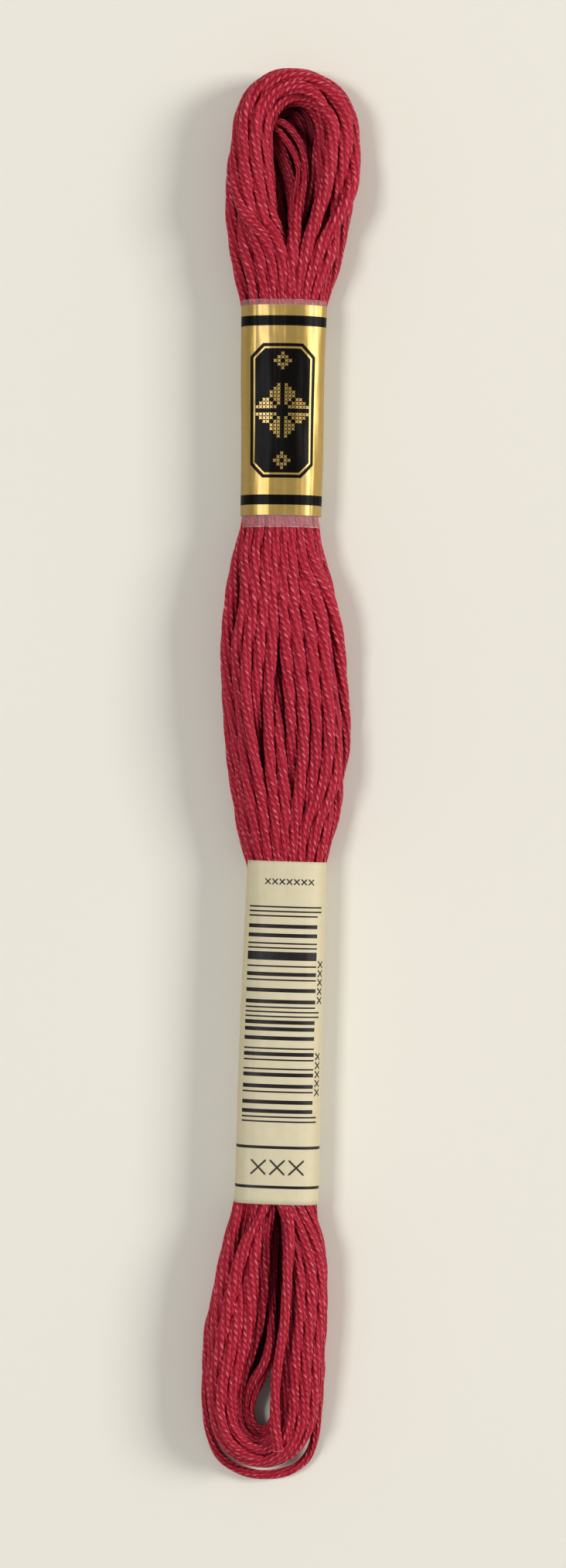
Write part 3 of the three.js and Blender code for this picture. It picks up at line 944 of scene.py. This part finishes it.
CREAM_SIDE_SHADE = rgb(176, 160, 122)      # painted shade towards the sides, where the sleeve turns away
PAPER_INK = rgb(26, 18, 20)
FLOOR_DARK, FLOOR_PALE = rgb(230, 226, 214), rgb(235, 231, 219)


def make_ply_twist_group():
    """The twist of a ply's two yarns, from the UV of a run: across the plies, one unit each, and along
    in millimetres. The crests are a cosine of the length over the spacing, slanted across the ply,
    with its own start on each ply and a slow drift. They give the bump and mask a painted highlight,
    and the sparks, the brightest of them, a brighter painted highlight. The grooves lie where two
    plies meet, and mask painted shade."""
    nodes, given, result = new_group(
        "ply_twist", {"Spacing": 0.9, "Lean": 0.5, "Fibre": 1.0},
        ("Crest", "SparkHighlight", "GrooveShade", "Streak", "Tone", "Height"),
    )
    across, along = nodes.layer("run")
    ply = nodes.floor(across)
    place = nodes.minus(across, ply)
    start = nodes.add("ShaderNodeTexWhiteNoise", {"W": ply}, noise_dimensions="1D")

    def patches(across_scale, along_scale, detail=1.0):
        """Noise along each ply, from a row of its own."""
        at = nodes.vector(nodes.times(ply, across_scale), nodes.times(along, along_scale))
        return nodes.noise(at, 1.0, detail)

    drift, jitter = patches(3.7, 0.07), patches(2.3, 0.5)
    phase = nodes.plus(
        nodes.over(along, given["Spacing"]), nodes.times(place, given["Lean"]),
        nodes.times(start, 9.0), nodes.times(drift, 3.0), nodes.times(jitter, 0.9),
    )
    wave = nodes.maths("COSINE", nodes.times(phase, 2 * math.pi))
    crest_number = nodes.vector(ply, nodes.nearest(phase))
    dash = nodes.add("ShaderNodeTexWhiteNoise", {"Vector": crest_number}, noise_dimensions="2D")
    middle = nodes.minus(1.0, nodes.size(nodes.minus(nodes.times(place, 2.0), 1.0)))
    crest = nodes.times(
        nodes.rise(wave, -0.6, 0.9), nodes.rise(middle, 0.1, 0.8),
        nodes.rise(dash, 0.0, 1.0, 0.3, 1.0, "LINEAR"), nodes.rise(patches(1.3, 0.11), 0.35, 0.6, 0.6, 1.0),
    )
    spark_highlight = nodes.times(
        nodes.rise(wave, 0.1, 1.0), nodes.rise(middle, 0.2, 0.9), nodes.rise(dash, 0.6, 0.95)
    )
    fibre_place = nodes.vector(nodes.times(across, 3.6), nodes.times(along, 1.5), start)
    streak = nodes.noise(fibre_place, 1.6, 3.0, 0.6)
    nodes.fill(result, {
        "Crest": crest,
        "SparkHighlight": spark_highlight,
        "GrooveShade": nodes.rise(middle, 0.0, 0.35, 1.0, 0.0),
        "Streak": streak,
        "Tone": patches(5.1, 0.045, 2.0),
        "Height": nodes.plus(crest, nodes.times(streak, given["Fibre"], 0.5)),
    })


def make_floss_material():
    """Mercerised cotton: painted highlights on the crests and a few brighter painted sparks, painted shade
    in the grooves, fine fibre streaks and a soft lustre. Painted shade also darkens it in the heap's
    hollows, by the UV layer shade."""
    material, nodes, shader = new_material("red_cotton_floss")
    twist = nodes.use_group("ply_twist", Spacing=PLY_TWIST, Lean=-0.95, Fibre=1.0)
    painted_shade, _ = nodes.layer("shade")
    # painted highlight on the crests
    colour = nodes.mix(twist["Crest"], YARN_RED, CREST_HIGHLIGHT_RED)
    colour = nodes.mix(nodes.rise(twist["Tone"], 0.35, 0.65, 0.0, 0.35), colour, DEEP_RED)
    colour = nodes.mix(nodes.rise(twist["Streak"], 0.42, 0.68, 0.0, 0.45), colour, FIBRE_RED)
    # painted sparkle highlights
    colour = nodes.mix(nodes.times(twist["SparkHighlight"], 0.45), colour, SPARK_HIGHLIGHT_PINK)
    # painted shade in the grooves between plies
    colour = nodes.mix(nodes.times(twist["GrooveShade"], 0.26), colour, GROOVE_SHADE_RED)
    nodes.fill(shader, {
        # painted shade in the heap's hollows, darkest deep inside it
        "Base Color": nodes.mix(nodes.times(painted_shade, 0.88), colour, HOLLOW_SHADE_RED),
        "Roughness": nodes.rise(twist["Streak"], 0.3, 0.7, 0.42, 0.56),
        "Normal": nodes.bump(twist["Height"], 1.0, 0.00016),
        "Sheen Weight": 0.06,
        "Sheen Roughness": 0.4,
        "Sheen Tint": LUSTRE_PINK,
        "Specular Tint": LUSTRE_PINK,
        "Specular IOR Level": 0.6,
    })
    return material


def make_cut_floss_material():
    """The cut ends of the six plies: paler, ragged fibre ends with painted shade in lines between the
    plies.
    """
    material, nodes, shader = new_material("cut_floss_fibres")
    twist = nodes.use_group("ply_twist", Spacing=0.4, Lean=0.0, Fibre=2.0)
    speckle = nodes.noise(nodes.object_place(), 9000.0, 3.0, 0.7)
    colour = nodes.mix(nodes.rise(speckle, 0.35, 0.65), CUT_DARK, CUT_PALE)
    nodes.fill(shader, {
        # painted shade between the cut plies
        "Base Color": nodes.mix(nodes.times(twist["GrooveShade"], 0.7), colour, CUT_LINE_SHADE),
        "Roughness": 0.8,
        "Normal": nodes.bump(speckle, 1.0, 0.00008),
        "Sheen Weight": 0.3,
    })
    return material


def make_sleeve_dents_group():
    """How floss shows through a thin sheet wrapped round it: long soft flutes, from noise stretched
    along the skein, and broader, rounder dents. The cloud is a fine even mottling."""
    nodes, given, result = new_group("sleeve_dents", {"Flutes": 1.0, "Dents": 1.0}, ("Height", "Cloud"))
    place = nodes.object_place()
    long_place = nodes.add("ShaderNodeMapping", {"Vector": place, "Scale": (620.0, 45.0, 620.0)})
    flutes = nodes.times(nodes.noise(long_place, 1.0, 2.0, 0.4), given["Flutes"])
    dents = nodes.times(nodes.noise(place, 230.0, 1.0, 0.4), given["Dents"])
    nodes.fill(result, {"Height": nodes.plus(flutes, dents), "Cloud": nodes.noise(place, 900.0, 3.0, 0.6)})


def make_stitch_cells_group():
    """Square cells like a cross-stitch chart's: from a place and a centre in millimetres, how many
    cells the place's cell is from the centre's, and a cross inside each cell."""
    nodes, given, result = new_group(
        "stitch_cells", {"Across": 0.0, "Along": 0.0, "Centre": 0.0, "Cell": 0.45, "Stroke": 0.19},
        ("Columns", "Rows", "Cross"),
    )
    column = nodes.over(given["Across"], given["Cell"])
    row = nodes.over(nodes.minus(given["Along"], given["Centre"]), given["Cell"])
    off = [nodes.size(nodes.minus(value, nodes.nearest(value))) for value in (column, row)]
    past_stroke = nodes.minus(nodes.size(nodes.minus(*off)), given["Stroke"])
    inside = nodes.rise(nodes.most(*off), 0.38, 0.44, 1.0, 0.0)
    nodes.fill(result, {
        "Columns": nodes.size(nodes.nearest(column)),
        "Rows": nodes.size(nodes.nearest(row)),
        "Cross": nodes.times(nodes.rise(past_stroke, -0.05, 0.05, 1.0, 0.0), inside),
    })


# The printed film, in millimetres below its top edge
FILM_PRINT = (0.65, 25.95)           # the margins outside it are clear
FILM_STRIPES = ((1.96, 3.18), (23.52, 24.73))    # the black ones
FILM_GLINTS = ((0.03, 0.1), (27.28, 27.36))      # painted glints, where the light catches the edges
FILM_PANEL = (5.3, 21.5, 3.95)       # the black panel's top and foot, and its half width
PANEL_CORNER = 1.6                   # cut off each of its corners, along both sides
PANEL_LINE = (-0.62, -0.4)           # the gold line inside its edge, as distances from the edge
FILM_CELL = {"Cell": 0.44, "Stroke": 0.22}
DIAMOND_INSET = 2.1                  # of the two diamonds' middles from the panel's ends


def stitched_marks(nodes, around, down):
    """The gold cross stitches on the film's panel: a star of eight petals, which are the cells off its
    axes and diagonals, and a diamond with an open middle above and below it."""
    top, foot, _ = FILM_PANEL
    cells = nodes.use_group("stitch_cells", Across=around, Along=down, Centre=(top + foot) / 2, **FILM_CELL)
    far = nodes.most(cells["Columns"], cells["Rows"])
    near = nodes.least(cells["Columns"], cells["Rows"])
    petal = nodes.times(nodes.more(near, 0.5), nodes.less(near, nodes.minus(far, 0.5)))
    marks = nodes.times(petal, nodes.less(nodes.plus(far, near), 8.5), cells["Cross"])
    for middle in (top + DIAMOND_INSET, foot - DIAMOND_INSET):
        cells = nodes.use_group("stitch_cells", Across=around, Along=down, Centre=middle, **FILM_CELL)
        away = nodes.plus(cells["Columns"], cells["Rows"])
        diamond = nodes.times(nodes.less(away, 2.5), nodes.more(away, 0.5), cells["Cross"])
        marks = nodes.most(marks, diamond)
    return marks


def make_film_material():
    """Clear film printed in gold and black: stripes at both ends, and a black panel with stitched marks
    between them. The margins past the print are clear. The panel's edge is where the distance past its
    sides and its cut corners, whichever is most, is 0."""
    material, nodes, shader = new_material("printed_film")
    around, down = nodes.layer("run")
    dents = nodes.use_group("sleeve_dents", Flutes=1.0, Dents=0.8)

    top, foot, half = FILM_PANEL
    past_side = nodes.minus(nodes.size(around), half)
    past_end = nodes.minus(nodes.size(nodes.minus(down, (top + foot) / 2)), (foot - top) / 2)
    past_corner = nodes.times(nodes.plus(past_side, past_end, PANEL_CORNER), math.sqrt(0.5))
    past_edge = nodes.most(past_side, past_end, past_corner)
    panel = nodes.rise(past_edge, -0.03, 0.03, 1.0, 0.0)
    gold_marks = nodes.most(nodes.between(past_edge, *PANEL_LINE), stitched_marks(nodes, around, down))
    black = nodes.times(panel, nodes.minus(1.0, gold_marks))
    for stripe in FILM_STRIPES:
        black = nodes.most(black, nodes.between(down, *stripe))
    printed = nodes.between(down, *FILM_PRINT, 0.02)

    # Painted glints: the clear margin is paler and less clear along the top edge and the foot.
    top_glint, foot_glint = FILM_GLINTS
    glint = nodes.most(nodes.rise(down, *top_glint, 0.4, 0.0), nodes.rise(down, *foot_glint))
    glint = nodes.times(glint, nodes.rise(nodes.noise(nodes.vector(around, 0.0), 0.9), 0.4, 0.6, 0.1, 1.0))
    gold = nodes.mix(dents["Cloud"], GOLD_DARK, GOLD_PALE)
    colour = nodes.mix(black, gold, FILM_BLACK)
    nodes.fill(shader, {
        "Base Color": nodes.mix(printed, FILM_CLEAR, colour),
        "Metallic": nodes.times(printed, nodes.rise(black, 0.0, 1.0, 0.42, 0.0)),
        "Roughness": nodes.rise(black, 0.0, 1.0, 0.35, 0.4),
        "Alpha": nodes.most(printed, nodes.rise(glint, 0.0, 1.0, 0.1, 0.7)),
        "Normal": nodes.bump(dents["Height"], 0.6, 0.0004),
        "Coat Weight": nodes.rise(black, 0.0, 1.0, 0.2, 0.0),
        "Coat Roughness": 0.2,
        "Specular IOR Level": 0.06,
    })
    return material


# The printed paper
BAR_STEP = 0.275                     # bars start and end at whole steps
BAR_THIN = 0.14                      # how far inside its steps a bar's edges are, in steps
BARS_TOP = 5.35                      # from the paper's top edge to the first bar
BARS_AROUND = (-4.6, 4.15)           # the bars' two ends
LONG_BARS_AROUND = (-4.6, 4.75)
LONG_BARS = (0, 2, 46, 48, 92, 94)   # their steps
CELL_STEPS, BLOCK_STEPS = 7.0, 42.0  # in one cell of two bars, and in one block
BAR_DRAWS = (2.8, 1.7, 2.9)          # ranges of a cell's three random numbers, in steps
FIRST_BLOCK, NEXT_BLOCK = 3.0, 47.0  # steps to the first block, and from it to the second
PAPER_RULES = ((34.27, 34.63), (39.05, 39.41))
# Rows of crosses: the row's middle around and down, the cell, the stroke, and the reach each way
PAPER_CROSSES = (
    (0.0, 36.85, 2.25, 0.075, 3.4, 1.1), (0.45, 2.45, 0.9, 0.13, 3.15, 0.45),
    (4.8, 14.5, 1.08, 0.12, 0.5, 2.7), (4.8, 25.6, 1.08, 0.12, 0.5, 2.7),
)


def printed_bars(nodes, around, down):
    """Two blocks of bars, with pairs of longer bars before, between and after them. A block has six
    cells of seven steps, and three random numbers for each cell set where its first bar starts and
    stops and where its second bar starts, which stops at the cell's end. They encode nothing."""
    step = nodes.over(nodes.minus(down, BARS_TOP), BAR_STEP)
    second = nodes.more(step, NEXT_BLOCK + 0.5)
    step = nodes.minus(nodes.minus(step, FIRST_BLOCK), nodes.times(second, NEXT_BLOCK))
    cell = nodes.floor(nodes.over(step, CELL_STEPS))
    inside = nodes.minus(step, nodes.times(cell, CELL_STEPS))
    inside = nodes.size(nodes.minus(inside, nodes.times(second, CELL_STEPS)))
    draw = nodes.tree.nodes.new("ShaderNodeSeparateColor")
    random = nodes.add(
        "ShaderNodeTexWhiteNoise", {"Vector": nodes.vector(cell, second, 4.0)}, 1, noise_dimensions="3D"
    )
    nodes.put(draw.inputs[0], random)

    def steps_drawn(i):
        """A whole number of steps, from the cell's random number i."""
        return nodes.floor(nodes.times(draw.outputs[i], BAR_DRAWS[i]))

    def bar(low, high):
        """1 from low to high inside the cell, less BAR_THIN at both edges."""
        after_low = nodes.more(inside, nodes.plus(low, BAR_THIN))
        return nodes.times(after_low, nodes.less(inside, nodes.minus(high, BAR_THIN)))

    start = nodes.plus(1.0, steps_drawn(0))
    stop = nodes.plus(start, 1.0, steps_drawn(1))
    again = nodes.least(nodes.plus(stop, 1.0, steps_drawn(2)), CELL_STEPS - 1)
    bars = nodes.times(
        nodes.most(bar(start, stop), bar(again, CELL_STEPS)),
        nodes.between(step, 0.0, BLOCK_STEPS, 0.02), nodes.between(around, *BARS_AROUND),
    )
    edges = [(number + BAR_THIN, number + 1 - BAR_THIN) for number in LONG_BARS]
    long_bars = nodes.most(*(
        nodes.between(down, BARS_TOP + low * BAR_STEP, BARS_TOP + high * BAR_STEP, 0.02)
        for low, high in edges
    ))
    return nodes.most(bars, nodes.times(long_bars, nodes.between(around, *LONG_BARS_AROUND)))


def printed_crosses(nodes, around, down):
    """The rows of plain crosses, each row in a window of its own."""
    rows = []
    for at, level, cell, stroke, wide, tall in PAPER_CROSSES:
        shift = nodes.minus(around, at)
        cells = nodes.use_group(
            "stitch_cells", Across=shift, Along=down, Centre=level, Cell=cell, Stroke=stroke
        )
        window = nodes.times(
            nodes.between(shift, -wide, wide, 0.01), nodes.between(down, level - tall, level + tall, 0.01)
        )
        rows.append(nodes.times(cells["Cross"], window))
    return nodes.most(*rows)


def make_paper_material():
    """Cream paper printed in black: bars, two rules and rows of crosses. It is darker towards its
    sides, by painted shade where the sleeve turns away from the front."""
    material, nodes, shader = new_material("cream_paper")
    around, down = nodes.layer("run")
    dents = nodes.use_group("sleeve_dents", Flutes=0.7, Dents=1.2)
    rules = nodes.most(*(nodes.between(down, *rule) for rule in PAPER_RULES))
    ink = nodes.most(printed_bars(nodes, around, down), rules, printed_crosses(nodes, around, down))
    cream = nodes.mix(dents["Cloud"], CREAM_DARK, CREAM_PALE)
    # painted shade towards the sleeve's sides
    cream = nodes.mix(nodes.rise(nodes.size(around), 3.6, 5.4, 0.0, 0.35), cream, CREAM_SIDE_SHADE)
    nodes.fill(shader, {
        "Base Color": nodes.mix(ink, cream, PAPER_INK),
        "Roughness": nodes.rise(ink, 0.0, 1.0, 0.62, 0.5),
        "Normal": nodes.bump(dents["Height"], 0.5, 0.0004),
        "Specular IOR Level": 0.25,
    })
    return material


# ---------------------------------------------------------------- stage

def build_camera():
    """A camera straight above the skein, whose frame is FRAME_HEIGHT pixels high."""
    data = bpy.data.cameras.new("camera")
    data.lens = LENS
    data.sensor_width = SENSOR
    data.clip_start, data.clip_end = CLIP
    camera = bpy.data.objects.new("camera", data)
    x, y, z = FRAME_CENTRE
    distance = FRAME_HEIGHT * PIXEL * LENS / SENSOR
    camera.location = (x * MM, y * MM, (z + distance) * MM)
    bpy.context.scene.collection.objects.link(camera)
    bpy.context.scene.camera = camera


def build_floor():
    """A pale sheet under the skein, flat in the middle and curved up into a backdrop far out."""
    points_each_way = FLOOR_CELLS + 1
    spread = np.linspace(-FLOOR_REACH, FLOOR_REACH, points_each_way)
    x, y = np.meshgrid(spread, spread)
    z = FLOOR_LEVEL + BACKDROP_HEIGHT * smoothstep(np.hypot(x, y), BACKDROP_START, FLOOR_REACH)
    points = np.stack([x, y, z], -1).reshape(-1, 3)
    quads, _ = sheet_faces(points_each_way, points_each_way)
    material, nodes, shader = new_material("pale_paper_floor")
    cloud = nodes.noise(nodes.object_place(), 9.0)
    nodes.fill(shader, {"Base Color": nodes.mix(cloud, FLOOR_DARK, FLOOR_PALE), "Roughness": 0.9})
    floor = mesh_object("floor", points, quads, points[quads.ravel(), :2], material)


def add_light(name, place, size, power, tint):
    """A soft square light at a place, in metres, which faces the skein."""
    data = bpy.data.lights.new(name, "AREA")
    data.shape = "SQUARE"
    data.size = size
    data.energy = power
    data.color = tint
    light = bpy.data.objects.new(name, data)
    x, y, z = place
    light.location = place
    light.rotation_euler = (math.atan2(math.hypot(x, y), z), 0, math.atan2(y, x) + math.pi / 2)
    bpy.context.scene.collection.objects.link(light)


def build_lights():
    """A warm key light from the right, a smaller cool one high on the left, and a pale room."""
    add_light("key_light", (1.55, 0.3, 0.95), 0.6, 25.0, (1.0, 0.985, 0.97))
    add_light("fill_light", (-0.8, 0.1, 1.38), 0.4, 10.2, (0.98, 0.99, 1.0))
    world = bpy.data.worlds.new("pale_room")
    world.use_nodes = True
    back = world.node_tree.nodes["Background"]
    back.inputs["Color"].default_value = (0.97, 0.98, 1.0, 1.0)
    back.inputs["Strength"].default_value = 0.3
    bpy.context.scene.world = world
    bpy.context.scene.view_settings.view_transform = "Standard"


# ---------------------------------------------------------------- making

build_camera()
make_ply_twist_group()
make_sleeve_dents_group()
make_stitch_cells_group()
floss = make_floss_material()
floss_paths = turn_paths()
heap = height_grids(floss_paths)
build_loose_end(floss, make_cut_floss_material(), heap)
build_floss_turns(floss_paths, floss, heap)
build_band("upper_band", make_film_material(), film_flutes)
build_band("lower_band", make_paper_material(), paper_flutes)
build_floor()
build_lights()

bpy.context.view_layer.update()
